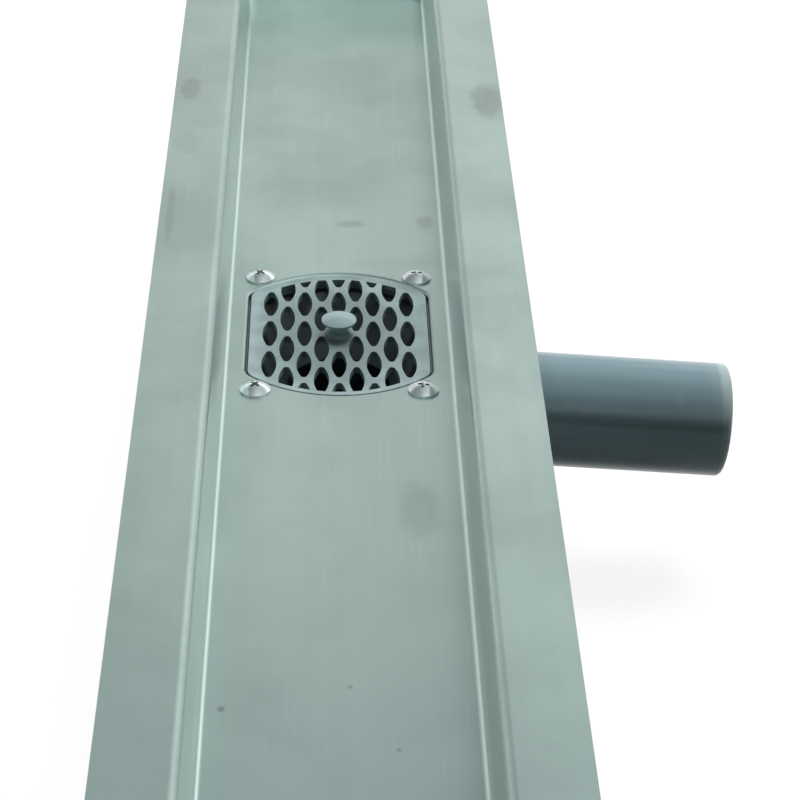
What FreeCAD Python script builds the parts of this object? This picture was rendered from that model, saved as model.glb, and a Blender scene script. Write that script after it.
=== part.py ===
import FreeCAD, Part
import math
import os

os.makedirs("parts", exist_ok=True)

# Linear channel drain, in millimetres. The origin lies at the middle of the channel, in the top plane of the
# flange. +X runs across the channel towards the outlet, +Y along it, +Z up.

V = FreeCAD.Vector
ORIGIN = V(0, 0, 0)
UP = V(0, 0, 1)

# Folded tray
TRAY_LENGTH = 800.0
TRAY_WIDTH = 158.0
SHEET = 1.5
CHANNEL_WIDTH = 101.5          # between the walls, at the flange
CHANNEL_DEPTH = 33.5           # flange top to floor top
WALL_INSET = 2.0               # each wall leans in by this much down to the floor
BEND_INSIDE = 2.0
TRAY_CORNER = 4.0
CHANNEL_CORNER = 6.0
END_FLANGE = 21.0              # flange beyond each end wall
CHANNEL_LENGTH = TRAY_LENGTH - 2 * END_FLANGE
FLOOR_TOP = -CHANNEL_DEPTH
FLOOR_UNDER = FLOOR_TOP - SHEET

# Double-D opening in the floor: a circle cut off by two flats
OPENING_R = 52.2
OPENING_FLAT = 39.6            # half the width across the flats
OPENING_CORNER = 8.0
LEAST_CORNER = 2.0             # corner radius of shapes set far inside the opening
LIP_DEPTH = 3.0                # the pressed lip reaches this far below the floor's top
LIP_BEND = 1.4
SCREW_X = 35.0
SCREW_Y = 48.5
SCREW_HOLE_R = 3.2

# Trap clamped under the floor
GASKET_T = 2.0
PLATE_WIDTH = 92.0
PLATE_LENGTH = 120.0
PLATE_CORNER = 14.0
PLATE_T = 4.0
TRAP_WALL = 3.0
TRAP_SEAT_GAP = 0.5            # the seat is smaller than the tray's opening by this
SEAT_LEDGE = 3.0               # the dip tube hangs on a ledge this wide
POT_DEPTH = 136.0              # flange top to the underside of the pot
POT_CORNER = 13.0
POT_EDGE_R = 7.0
BOSS_R = 6.5
BOSS_DEPTH = 16.0
BOSS_BORE_R = 3.4
GASKET_GAP = 0.6               # between the gasket and the outside of the tray's lip
GUSSET_T = 2.4
GUSSET_X = (-16.0, 0.0, 16.0)
GUSSET_DROP = 26.0             # how far the gussets run down the pot
GUSSET_TOE = 3.0               # their height at the plate's edge
GUSSET_EDGE = 3.0              # they stop short of the plate's edge by this

# Strainer
STRAINER_T = 3.0
STRAINER_RECESS = 0.9          # floor top to the strainer's field
STRAINER_GAP = 1.0             # between the strainer's body and the lip
RIM_ARC_GAP = 0.4              # between the rim and the lip at the two arcs
RIM_RISE = 0.45                # the rim stands over the field by this
RIM_T = 2.0
RIM_EDGE_R = 0.3
RIM_CREST = 0.7                # level crest before the rim slopes down to the field
RIM_INNER_R = 48.9             # where the slope meets the field
RIM_INNER_FLAT = 34.6
RIM_INNER_CORNER = 7.0
FIELD_R = 48.4                 # the holes are cut off along this double-D
FIELD_FLAT = 33.6
HOLE_PITCH_X = 7.44
HOLE_PITCH_Y = 26.0
HOLE_WIDTH = 6.5
HOLE_LENGTH = 21.5
HOLE_TIP_R = 1.4
HOLE_COLUMNS = 9
HOLE_LEAST_AREA = 6.0

# Knob
KNOB_HEAD_R = 7.5
KNOB_HEIGHT = 9.0              # strainer's field to the crown
KNOB_EDGE_HEIGHT = 7.1         # strainer's field to the start of the dome
KNOB_EDGE_T = 0.9
KNOB_UNDERCUT = 1.7
KNOB_NECK_R = 3.9
KNOB_COLLAR_R = 6.0
KNOB_COLLAR_H = 1.6            # height of the collar's upright edge
KNOB_COLLAR_TOP = 2.4
KNOB_PIN_R = 2.5
KNOB_RIVET_R = 3.7
KNOB_RIVET_T = 1.2

# Dip tube
INSERT_FLANGE_T = 2.2
FUNNEL_CLEARANCE = 0.3         # between the funnel and the trap at the ledge
SEAL_T = 1.5
SEAL_MARGIN = 0.2              # the seal ends this far inside the dip tube's flange
DIP_TUBE_R = 24.0
DIP_TUBE_WALL = 1.6
DIP_TUBE_END = -122.0
FUNNEL_END = -60.0

# Outlet
PIPE_R = 25.0
PIPE_WALL = 3.0
PIPE_END_ROUND = 2.6
PIPE_FALL = 4.0                # degrees below level, towards the pipe's free end
PIPE_AXIS_Z = -65.9            # height of the pipe's axis over the origin
WAY_START = 20.0               # the way out is cut from here, inside the pot
PIPE_START = 46.0              # along the axis, from the middle of the trap
PIPE_END = 170.7
PIPE_MARK_DEPTH = 0.5          # groove that shows how far the pipe goes into its socket
PIPE_MARK_WIDTH = 1.4
SOCKET_WALL = 3.2
SOCKET_CLEARANCE = 0.3
SOCKET_MOUTH = 80.0
SOCKET_BEAD_R = 33.6
SEAL_GROOVE_R = 30.2
SEAL_GROOVE_START = 65.0
SEAL_GROOVE_END = 75.0
SOCKET_BEAD_START = 60.0
SOCKET_BEAD_FULL = 64.0
SOCKET_BEAD_END = 77.0
LIP_SQUEEZE_GAP = 0.02         # the seal's lips end this far from the pipe
LIP_HEIGHT = 1.6
LIP_REACH = 2.0                # from the seal's end face to the crest of its lip
PIPE_LEAD = 3.0                # length of the bevel at the pushed-in end
PIPE_LEAD_DEPTH = 1.0

# Screws, inserts and nuts
SCREW_R = 2.95
SCREW_LENGTH = 20.0
SCREW_HEAD_R = 6.5
SCREW_HEAD_H = 3.1
SCREW_HEAD_EDGE = 0.9
RECESS_WIDTH = 1.3
RECESS_REACH = 2.8
RECESS_DEPTH = 2.0
INSERT_R = 4.3
INSERT_BORE_R = 3.0
INSERT_LENGTH = 10.0
INSERT_GROOVE = 0.6            # depth of the groove, and half its width at the bottom
INSERT_GROOVE_MOUTH = 1.0      # half its width at the surface
SCREW_TURN = 20.0              # degrees; each screw stopped at its own turn
SCREW_TURN_PER_X = 3.0
RECESS_TAPER = 0.45
NUT_ACROSS_FLATS = 13.0
NUT_HEIGHT = 6.5
NUT_CHAMFER = 0.9
NUT_CHAMFER_HEIGHT = 0.54
NUT_BORE_R = 4.05

# Straps and feet
STRAP_Y = 300.0
STRAP_WIDTH = 36.0
STRAP_T = 2.0
STRAP_HALF_LENGTH = 76.0
STRAP_EDGE = 9.0
STRAP_END_R = 10.0
STRAP_BEND_INSIDE = 1.0
STUD_X = 64.0
STUD_R = 4.0
STUD_TOP = -10.5
STUD_CHAMFER = 0.8
STRAP_HOLE_R = 4.5
FOOT_BASE = -142.0
PAD_R = 18.0
PAD_HEIGHT = 14.0
PAD_RIM = 3.2                  # height of the pad's upright edge
PAD_SHOULDER_R = 12.0
PAD_SHOULDER = 7.5
PAD_TOP_R = 10.6
PAD_RING_OUT = 4.0             # ring under the pad, measured in from its edge
PAD_RING_IN = 8.0
PAD_RING_DEPTH = 1.2
STUD_HEAD_H = 5.5
STUD_HEAD_SEAT = 4.5           # floor of the pad's pocket over the pad's base


def double_d(radius, flat, corner, z):
    """Face bounded by a circle with two flats at x = +-flat, its four corners rounded."""
    y_corner = math.sqrt((radius - corner) ** 2 - (flat - corner) ** 2)
    angle = math.atan2(y_corner, flat - corner)
    arc_x = radius * math.cos(angle)
    arc_y = radius * math.sin(angle)
    mid_x = flat - corner + corner * math.cos(angle / 2)
    mid_y = y_corner + corner * math.sin(angle / 2)
    edges = [
        Part.LineSegment(V(flat, -y_corner, z), V(flat, y_corner, z)),
        Part.Arc(V(flat, y_corner, z), V(mid_x, mid_y, z), V(arc_x, arc_y, z)),
        Part.Arc(V(arc_x, arc_y, z), V(0, radius, z), V(-arc_x, arc_y, z)),
        Part.Arc(V(-arc_x, arc_y, z), V(-mid_x, mid_y, z), V(-flat, y_corner, z)),
        Part.LineSegment(V(-flat, y_corner, z), V(-flat, -y_corner, z)),
        Part.Arc(V(-flat, -y_corner, z), V(-mid_x, -mid_y, z), V(-arc_x, -arc_y, z)),
        Part.Arc(V(-arc_x, -arc_y, z), V(0, -radius, z), V(arc_x, -arc_y, z)),
        Part.Arc(V(arc_x, -arc_y, z), V(mid_x, -mid_y, z), V(flat, -y_corner, z)),
    ]
    return Part.Face(Part.Wire([edge.toShape() for edge in edges]))


def opening_face(inset, z, corner=None):
    """The tray's opening, made smaller on every side by inset."""
    if corner is None:
        corner = max(OPENING_CORNER - inset, LEAST_CORNER)
    return double_d(OPENING_R - inset, OPENING_FLAT - inset, corner, z)


def opening_prism(inset, z_low, z_high):
    return opening_face(inset, z_low).extrude(V(0, 0, z_high - z_low))


def matching_circle(radius, flat_face, z):
    """Circle cut at the same bearings as the corners of a double-D, so that the two loft cleanly."""
    bearings = []
    for vertex in flat_face.OuterWire.OrderedVertexes:
        bearings.append(math.atan2(vertex.Y, vertex.X))
    edges = []
    for start, end in zip(bearings, bearings[1:] + bearings[:1]):
        turn = (end - start) % (2 * math.pi)
        angles = (start, start + turn / 2, start + turn)
        points = [V(radius * math.cos(a), radius * math.sin(a), z) for a in angles]
        edges.append(Part.Arc(*points).toShape())
    return Part.Wire(edges)


def rounded_rectangle(width, length, corner, z):
    """Face centred on the Z axis."""
    x, y = width / 2, length / 2
    plate = Part.makeBox(width, length, 1, V(-x, -y, z))
    uprights = [edge for edge in plate.Edges if abs(edge.tangentAt(edge.FirstParameter).z) > 0.9]
    plate = plate.makeFillet(corner, uprights)
    return next(face for face in plate.Faces if abs(face.CenterOfMass.z - z) < 1e-6)


def block(width, length, corner, z_low, z_high):
    return rounded_rectangle(width, length, corner, z_low).extrude(V(0, 0, z_high - z_low))


def cylinder(radius, z_low, z_high, x=0.0, y=0.0):
    return Part.makeCylinder(radius, z_high - z_low, V(x, y, z_low))


def revolve(points, rounds=None):
    """Solid turned about Z from a closed outline of (radius, z) points.

    rounds maps the place of a point in the outline to the radius its edge gets.
    """
    outline = Part.makePolygon([V(r, 0, z) for r, z in points + points[:1]])
    solid = Part.Face(outline).revolve(ORIGIN, UP, 360)
    for place, radius in (rounds or {}).items():
        r, z = points[place]
        edges = [e for e in solid.Edges if is_ring(e, r, z)]
        solid = solid.makeFillet(radius, edges)
    return solid


def domed(points, crown):
    """Solid turned about Z from an open outline, closed over by a ball-shaped dome up to the crown."""
    radius, z_edge = points[-1]
    rise = crown - z_edge
    ball = (radius ** 2 + rise ** 2) / (2 * rise)
    half = math.asin(radius / ball) / 2
    middle = V(ball * math.sin(half), 0, crown - ball + ball * math.cos(half))
    outline = [V(r, 0, z) for r, z in points]
    edges = [Part.LineSegment(a, b).toShape() for a, b in zip(outline, outline[1:])]
    edges.append(Part.Arc(outline[-1], middle, V(0, 0, crown)).toShape())
    edges.append(Part.LineSegment(V(0, 0, crown), outline[0]).toShape())
    return Part.Face(Part.Wire(edges)).revolve(ORIGIN, UP, 360)


def is_ring(edge, radius, z):
    """True for a circular edge about the Z axis with this radius at this height."""
    box = edge.BoundBox
    return abs(box.ZMin - z) < 1e-4 and abs(box.ZMax - z) < 1e-4 and abs(box.XMax - radius) < 1e-3


def edges_at(shape, z, test=lambda edge: True):
    """Edges that lie wholly in one level plane."""
    level = [e for e in shape.Edges if max(abs(e.BoundBox.ZMin - z), abs(e.BoundBox.ZMax - z)) < 1e-4]
    return [e for e in level if test(e)]


def inside(half_x, half_y):
    """Test for edges whose middle lies within a rectangle round the Z axis."""
    return lambda edge: abs(edge.CenterOfMass.x) < half_x and abs(edge.CenterOfMass.y) < half_y


def fuse(shapes):
    return shapes[0].multiFuse(shapes[1:]).removeSplitter()


def corners(x, y):
    return [(sx * x, sy * y) for sy in (-1, 1) for sx in (-1, 1)]


def export(name, shape):
    if shape.ShapeType != "Compound" and len(shape.Solids) == 1:
        shape = shape.Solids[0]
    if not shape.isValid():
        raise ValueError(name + " isn't a valid solid")
    shape.exportStep("parts/" + name + ".step")


# ---------------------------------------------------------------- tray

def channel_tray():
    """Folded tray: flange, leaning walls and floor in one sheet, with all bends rounded."""
    def walls(growth, z_low, z_high):
        """Tapered block that fits the channel's walls, grown outwards by growth."""
        slope = WALL_INSET / CHANNEL_DEPTH
        x_low = CHANNEL_WIDTH / 2 + growth + slope * z_low
        y_low = CHANNEL_LENGTH / 2 + growth + slope * z_low
        x_high = CHANNEL_WIDTH / 2 + growth + slope * z_high
        y_high = CHANNEL_LENGTH / 2 + growth + slope * z_high
        taper = Part.makeWedge(-x_low, z_low, -y_low, -y_high, -x_high, x_low, z_high, y_low, y_high, x_high)
        taper.rotate(ORIGIN, V(1, 0, 0), 90)
        leaning = [e for e in taper.Edges if e.BoundBox.ZLength > 1]
        return taper.makeFillet(CHANNEL_CORNER + growth, leaning)

    flange = block(TRAY_WIDTH, TRAY_LENGTH, TRAY_CORNER, -SHEET, 0)
    sheet = flange.fuse(walls(SHEET, FLOOR_UNDER, -SHEET / 2))
    sheet = sheet.cut(walls(0, FLOOR_TOP, SHEET)).removeSplitter()
    outside_r = BEND_INSIDE + SHEET
    channel_edge = inside(TRAY_WIDTH / 2 - TRAY_CORNER - 1, TRAY_LENGTH / 2 - TRAY_CORNER - 1)
    bends = ((0, outside_r), (-SHEET, BEND_INSIDE), (FLOOR_TOP, BEND_INSIDE), (FLOOR_UNDER, outside_r))
    for z, radius in bends:
        sheet = sheet.makeFillet(radius, edges_at(sheet, z, channel_edge))

    lip = opening_prism(-SHEET, FLOOR_TOP - LIP_DEPTH, FLOOR_TOP - SHEET / 2)
    sheet = sheet.fuse(lip).cut(opening_prism(0, FLOOR_TOP - LIP_DEPTH - 1, 0)).removeSplitter()
    sheet = sheet.makeFillet(LIP_BEND, edges_at(sheet, FLOOR_TOP, inside(OPENING_R + 1, OPENING_R + 1)))
    for x, y in corners(SCREW_X, SCREW_Y):
        sheet = sheet.cut(cylinder(SCREW_HOLE_R, FLOOR_UNDER - 1, FLOOR_TOP + 1, x, y))
    return sheet


# ---------------------------------------------------------------- trap

GASKET_UNDER = FLOOR_UNDER - GASKET_T
PLATE_UNDER = GASKET_UNDER - PLATE_T
STRAINER_TOP = FLOOR_TOP - STRAINER_RECESS
STRAINER_UNDER = STRAINER_TOP - STRAINER_T
RIM_TOP = STRAINER_TOP + RIM_RISE
INSERT_FLANGE_UNDER = STRAINER_UNDER - INSERT_FLANGE_T
LEDGE_TOP = INSERT_FLANGE_UNDER - SEAL_T


def trap_gasket():
    gasket = block(PLATE_WIDTH, PLATE_LENGTH, PLATE_CORNER, GASKET_UNDER, FLOOR_UNDER)
    gasket = gasket.cut(opening_prism(-SHEET - GASKET_GAP, GASKET_UNDER - 1, FLOOR_UNDER + 1))
    for x, y in corners(SCREW_X, SCREW_Y):
        gasket = gasket.cut(cylinder(SCREW_HOLE_R, GASKET_UNDER - 1, FLOOR_UNDER + 1, x, y))
    return gasket


def along_outlet(shape):
    """Lays a shape made about +Z from the origin along the falling axis of the outlet."""
    shape = shape.copy()
    shape.rotate(ORIGIN, V(0, 1, 0), 90 + PIPE_FALL)
    shape.translate(V(0, 0, PIPE_AXIS_Z))
    return shape


def pot(inset, z_low, z_high):
    """The drawn shape of the pot: a double-D with straight sides."""
    depth = TRAP_SEAT_GAP + SEAT_LEDGE - TRAP_WALL + inset
    return opening_face(depth, z_low, POT_CORNER - inset).extrude(V(0, 0, z_high - z_low))


def trap_body():
    plate = block(PLATE_WIDTH, PLATE_LENGTH, PLATE_CORNER, PLATE_UNDER, GASKET_UNDER)
    seat_wall = opening_prism(TRAP_SEAT_GAP - TRAP_WALL, LEDGE_TOP - TRAP_WALL, PLATE_UNDER + 1)
    vessel = pot(0, -POT_DEPTH, LEDGE_TOP)
    vessel = vessel.makeFillet(POT_EDGE_R, edges_at(vessel, -POT_DEPTH))
    bosses = []
    for x, y in corners(SCREW_X, SCREW_Y):
        bosses.append(cylinder(BOSS_R, GASKET_UNDER - BOSS_DEPTH, PLATE_UNDER + 1, x, y))
    body = fuse([plate, seat_wall, vessel, outlet_socket()] + bosses + gussets())

    hollow = pot(TRAP_WALL, -POT_DEPTH + TRAP_WALL, LEDGE_TOP + 1)
    hollow = hollow.makeFillet(POT_EDGE_R - TRAP_WALL, edges_at(hollow, -POT_DEPTH + TRAP_WALL))
    seat = opening_prism(TRAP_SEAT_GAP, LEDGE_TOP, GASKET_UNDER + 1)
    pipe_way = cylinder(PIPE_R - PIPE_WALL, WAY_START, PIPE_START + 1)
    pipe_seat = cylinder(PIPE_R + SOCKET_CLEARANCE, PIPE_START, SOCKET_MOUTH + 1)
    groove = cylinder(SEAL_GROOVE_R, SEAL_GROOVE_START, SEAL_GROOVE_END)
    body = body.cut(fuse([hollow, seat])).cut(along_outlet(fuse([pipe_way, pipe_seat, groove])))
    for x, y in corners(SCREW_X, SCREW_Y):
        pocket = cylinder(INSERT_R, GASKET_UNDER - INSERT_LENGTH, GASKET_UNDER + 1, x, y)
        end_room = cylinder(BOSS_BORE_R, GASKET_UNDER - BOSS_DEPTH - 1, GASKET_UNDER, x, y)
        body = body.cut(pocket.fuse(end_room))
    return body


def outlet_socket():
    """Socket for the pipe, with a bead where the seal's groove lies."""
    socket_r = PIPE_R + SOCKET_CLEARANCE + SOCKET_WALL
    bead = revolve([(0, SOCKET_BEAD_START), (socket_r, SOCKET_BEAD_START), (SOCKET_BEAD_R, SOCKET_BEAD_FULL),
                    (SOCKET_BEAD_R, SOCKET_BEAD_END), (socket_r + 1, SOCKET_MOUTH), (0, SOCKET_MOUTH)])
    return along_outlet(cylinder(socket_r, 0, SOCKET_MOUTH).fuse(bead).removeSplitter())


def gussets():
    """Upright webs that brace the plate against the pot at its two round ends."""
    webs = []
    edge = PLATE_LENGTH / 2 - GUSSET_EDGE
    root = OPENING_R - SEAT_LEDGE
    top = PLATE_UNDER + GUSSET_TOE / 6
    for side in (-1, 1):
        for x in GUSSET_X:
            left = x - GUSSET_T / 2
            outline = [
                V(left, side * root / 2, top),
                V(left, side * edge, top),
                V(left, side * edge, PLATE_UNDER - GUSSET_TOE),
                V(left, side * root, PLATE_UNDER - GUSSET_DROP),
                V(left, side * root / 2, PLATE_UNDER - GUSSET_DROP),
            ]
            face = Part.Face(Part.makePolygon(outline + outline[:1]))
            webs.append(face.extrude(V(GUSSET_T, 0, 0)))
    return webs


def trap_insert():
    """Dip tube: double-D flange, funnel and straight tube in one moulding."""
    flange = opening_prism(STRAINER_GAP, INSERT_FLANGE_UNDER, STRAINER_UNDER)
    funnel_mouth = TRAP_SEAT_GAP + SEAT_LEDGE + FUNNEL_CLEARANCE

    def funnel(inset):
        top = opening_face(funnel_mouth + inset, INSERT_FLANGE_UNDER + 0.01)
        throat = matching_circle(DIP_TUBE_R - inset, top, FUNNEL_END)
        return Part.makeLoft([top.OuterWire, throat], True, True)

    outside = fuse([flange, funnel(0), cylinder(DIP_TUBE_R, DIP_TUBE_END, FUNNEL_END)])
    bore = cylinder(DIP_TUBE_R - DIP_TUBE_WALL, DIP_TUBE_END - 1, FUNNEL_END + 0.01)
    mouth = opening_prism(funnel_mouth + DIP_TUBE_WALL, INSERT_FLANGE_UNDER, STRAINER_UNDER + 1)
    return outside.cut(fuse([funnel(DIP_TUBE_WALL), bore, mouth]))


def insert_seal():
    ring = opening_prism(STRAINER_GAP + SEAL_MARGIN, LEDGE_TOP, INSERT_FLANGE_UNDER)
    hole_inset = TRAP_SEAT_GAP + SEAT_LEDGE - SEAL_MARGIN
    return ring.cut(opening_prism(hole_inset, LEDGE_TOP - 1, INSERT_FLANGE_UNDER + 1))


def threaded_inserts():
    """Brass sleeves with a groove round the middle that locks them in the bosses."""
    inserts = []
    for x, y in corners(SCREW_X, SCREW_Y):
        low, high = GASKET_UNDER - INSERT_LENGTH, GASKET_UNDER
        middle = (low + high) / 2
        groove_r = INSERT_R - INSERT_GROOVE
        sleeve = revolve([(INSERT_BORE_R, low), (INSERT_R, low), (INSERT_R, middle - INSERT_GROOVE_MOUTH),
                          (groove_r, middle - INSERT_GROOVE), (groove_r, middle + INSERT_GROOVE),
                          (INSERT_R, middle + INSERT_GROOVE_MOUTH), (INSERT_R, high), (INSERT_BORE_R, high)])
        sleeve.translate(V(x, y, 0))
        inserts.append(sleeve)
    return Part.makeCompound(inserts)


# ---------------------------------------------------------------- strainer

def pointed_oval(x, y, z_low, z_high):
    """Prism of a hole: two long arcs that meet in rounded tips along the channel."""
    half_w, half_l = HOLE_WIDTH / 2, HOLE_LENGTH / 2
    tip_y = half_l - HOLE_TIP_R
    tip_x = half_w - HOLE_TIP_R
    offset = (tip_y ** 2 - tip_x ** 2) / (2 * tip_x)
    side_r = offset + half_w
    join_x = HOLE_TIP_R * offset / (side_r - HOLE_TIP_R)
    join_y = tip_y + HOLE_TIP_R * tip_y / (side_r - HOLE_TIP_R)
    rounds = [
        [(join_x, -join_y), (half_w, 0), (join_x, join_y)],
        [(join_x, join_y), (0, half_l), (-join_x, join_y)],
        [(-join_x, join_y), (-half_w, 0), (-join_x, -join_y)],
        [(-join_x, -join_y), (0, -half_l), (join_x, -join_y)],
    ]
    edges = []
    for points in rounds:
        edges.append(Part.Arc(*[V(x + u, y + v, z_low) for u, v in points]).toShape())
    return Part.Face(Part.Wire(edges)).extrude(V(0, 0, z_high - z_low))


def strainer():
    """Moulded grid: a rim that slopes down to the field, and staggered columns of holes.

    Holes that would run into the rim are cut off along the field's outline.
    """
    rim_r, rim_flat = OPENING_R - RIM_ARC_GAP, OPENING_FLAT - STRAINER_GAP
    rim_corner = OPENING_CORNER - RIM_ARC_GAP
    rim = double_d(rim_r, rim_flat, rim_corner, RIM_TOP).extrude(V(0, 0, -RIM_T))
    rim = rim.makeFillet(RIM_EDGE_R, edges_at(rim, RIM_TOP))
    plate = opening_prism(STRAINER_GAP, STRAINER_UNDER, STRAINER_TOP).fuse(rim).removeSplitter()
    crest = double_d(rim_r - RIM_CREST, rim_flat - RIM_CREST, rim_corner - RIM_CREST, RIM_TOP)
    inner = double_d(RIM_INNER_R, RIM_INNER_FLAT, RIM_INNER_CORNER, STRAINER_TOP)
    plate = plate.cut(Part.makeLoft([inner.OuterWire, crest.OuterWire], True, True))

    low, high = STRAINER_UNDER - 1, RIM_TOP + 1
    field = double_d(FIELD_R, FIELD_FLAT, RIM_INNER_CORNER, low).extrude(V(0, 0, high - low))
    holes = []
    half = HOLE_COLUMNS // 2
    for column in range(-half, half + 1):
        shift = 0.5 * (column % 2)
        for row in range(-3, 3):
            if column == 0 and row == 0:
                continue
            y = (row + shift) * HOLE_PITCH_Y
            hole = pointed_oval(column * HOLE_PITCH_X, y, low, high).common(field)
            if hole.Volume > HOLE_LEAST_AREA * (high - low):
                holes.append(hole)
    plate = plate.cut(Part.makeCompound(holes))
    return plate.cut(cylinder(KNOB_PIN_R, low, high))


def lift_knob():
    """Mushroom knob on a collar, with a pin through the strainer that is headed over below."""
    top = STRAINER_TOP
    head_edge = top + KNOB_EDGE_HEIGHT
    return domed([
        (0, STRAINER_UNDER - KNOB_RIVET_T), (KNOB_RIVET_R, STRAINER_UNDER - KNOB_RIVET_T),
        (KNOB_RIVET_R, STRAINER_UNDER), (KNOB_PIN_R, STRAINER_UNDER), (KNOB_PIN_R, top),
        (KNOB_COLLAR_R, top), (KNOB_COLLAR_R, top + KNOB_COLLAR_H), (KNOB_NECK_R, top + KNOB_COLLAR_TOP),
        (KNOB_NECK_R, head_edge - KNOB_UNDERCUT), (KNOB_HEAD_R, head_edge - KNOB_EDGE_T),
        (KNOB_HEAD_R, head_edge)], top + KNOB_HEIGHT)


# ---------------------------------------------------------------- outlet

def outlet_pipe():
    """Plain pipe, bevelled to enter its socket, with a depth mark at the mouth and a rounded free end."""
    mark_end = SOCKET_MOUTH + PIPE_MARK_WIDTH
    mark_r = PIPE_R - PIPE_MARK_DEPTH
    tube = revolve([
        (PIPE_R - PIPE_WALL, PIPE_START), (PIPE_R - PIPE_LEAD_DEPTH, PIPE_START),
        (PIPE_R, PIPE_START + PIPE_LEAD), (PIPE_R, SOCKET_MOUTH), (mark_r, SOCKET_MOUTH),
        (mark_r, mark_end), (PIPE_R, mark_end),
        (PIPE_R, PIPE_END), (PIPE_R - PIPE_WALL, PIPE_END)], {7: PIPE_END_ROUND})
    return along_outlet(tube)


def outlet_seal():
    """Ring with two lips that bear on the pipe."""
    start, end = SEAL_GROOVE_START, SEAL_GROOVE_END
    middle = (start + end) / 2
    lip = PIPE_R + LIP_SQUEEZE_GAP
    back = PIPE_R + LIP_HEIGHT
    return along_outlet(revolve([
        (SEAL_GROOVE_R, start), (SEAL_GROOVE_R, end), (back, end), (lip, end - LIP_REACH),
        (back, middle), (lip, start + LIP_REACH), (back, start)]))


# ---------------------------------------------------------------- fasteners

def flange_screws():
    """Pan-head screws: domed head with a cross recess, plain shank."""
    screws = []
    for x, y in corners(SCREW_X, SCREW_Y):
        screw = domed([(0, -SCREW_LENGTH), (SCREW_R - 1, -SCREW_LENGTH), (SCREW_R, -SCREW_LENGTH + 1),
                       (SCREW_R, 0), (SCREW_HEAD_R, 0), (SCREW_HEAD_R, SCREW_HEAD_EDGE)], SCREW_HEAD_H)
        screw = screw.cut(cross_recess())
        screw.rotate(ORIGIN, UP, SCREW_TURN + SCREW_TURN_PER_X * x + y)
        screw.translate(V(x, y, FLOOR_TOP))
        screws.append(screw)
    return Part.makeCompound(screws)


def cross_recess():
    """Two crossed blades that narrow towards the bottom of the recess."""
    top, low = SCREW_HEAD_H + 0.5, SCREW_HEAD_H - RECESS_DEPTH
    reach_low = RECESS_REACH * RECESS_TAPER
    blades = []
    for turn in (0, 90):
        outline = [V(-RECESS_REACH, 0, top), V(RECESS_REACH, 0, top), V(reach_low, 0, low),
                   V(-reach_low, 0, low)]
        blade = Part.Face(Part.makePolygon(outline + outline[:1])).extrude(V(0, RECESS_WIDTH, 0))
        blade.translate(V(0, -RECESS_WIDTH / 2, 0))
        blade.rotate(ORIGIN, UP, turn)
        blades.append(blade)
    return blades[0].fuse(blades[1]).removeSplitter()


def hexagon(across_flats, height, z):
    radius = across_flats / math.sqrt(3)
    angles = [math.radians(a) for a in range(0, 361, 60)]
    points = [V(radius * math.cos(a), radius * math.sin(a), z) for a in angles]
    return Part.Face(Part.makePolygon(points)).extrude(V(0, 0, height))


def hex_nut(z):
    """Nut with its corners turned off at both faces."""
    full_r = NUT_ACROSS_FLATS / math.sqrt(3) + 0.1
    face_r = full_r - 0.1 - NUT_CHAMFER
    top = z + NUT_HEIGHT
    turned = revolve([(0, z), (face_r, z), (full_r, z + NUT_CHAMFER_HEIGHT),
                      (full_r, top - NUT_CHAMFER_HEIGHT), (face_r, top), (0, top)])
    nut = hexagon(NUT_ACROSS_FLATS, NUT_HEIGHT, z).common(turned)
    return nut.cut(cylinder(NUT_BORE_R, z - 1, z + NUT_HEIGHT + 1))


def nuts_at(z):
    nuts = []
    for x, y in corners(STUD_X, STRAP_Y):
        nut = hex_nut(z)
        nut.translate(V(x, y, 0))
        nuts.append(nut)
    return Part.makeCompound(nuts)


# ---------------------------------------------------------------- straps and feet

def support_strap(y):
    """Strip folded down along both long edges, welded under the floor."""
    z_top = FLOOR_UNDER
    half_l, half_w = STRAP_HALF_LENGTH, STRAP_WIDTH / 2
    channel_l, channel_w = half_l + 1, half_w - STRAP_T

    def long_edge(half):
        return lambda edge: abs(abs(edge.CenterOfMass.y) - half) < 1e-6

    outer = Part.makeBox(2 * half_l, 2 * half_w, STRAP_EDGE, V(-half_l, -half_w, z_top - STRAP_EDGE))
    outer = outer.makeFillet(STRAP_BEND_INSIDE + STRAP_T, edges_at(outer, z_top, long_edge(half_w)))
    channel_base = V(-channel_l, -channel_w, z_top - STRAP_EDGE - STRAP_T)
    channel = Part.makeBox(2 * channel_l, 2 * channel_w, STRAP_EDGE, channel_base)
    channel = channel.makeFillet(STRAP_BEND_INSIDE, edges_at(channel, z_top - STRAP_T, long_edge(channel_w)))
    strap = outer.cut(channel)
    outline = block(2 * STRAP_HALF_LENGTH, STRAP_WIDTH, STRAP_END_R, z_top - STRAP_EDGE, z_top)
    strap = strap.common(outline)
    for x in (-STUD_X, STUD_X):
        strap = strap.cut(cylinder(STRAP_HOLE_R, z_top - STRAP_T - 1, z_top + 1, x))
    strap.translate(V(0, y, 0))
    return strap


def foot_stud(x, y):
    """Levelling stud: plain rod with a hexagon at its foot."""
    seat = FOOT_BASE + STUD_HEAD_SEAT
    rod = revolve([(0, seat), (STUD_R, seat), (STUD_R, STUD_TOP - STUD_CHAMFER),
                   (STUD_R - STUD_CHAMFER, STUD_TOP), (0, STUD_TOP)])
    stud = rod.fuse(hexagon(NUT_ACROSS_FLATS, STUD_HEAD_H, seat)).removeSplitter()
    stud.translate(V(x, y, 0))
    return stud


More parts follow.
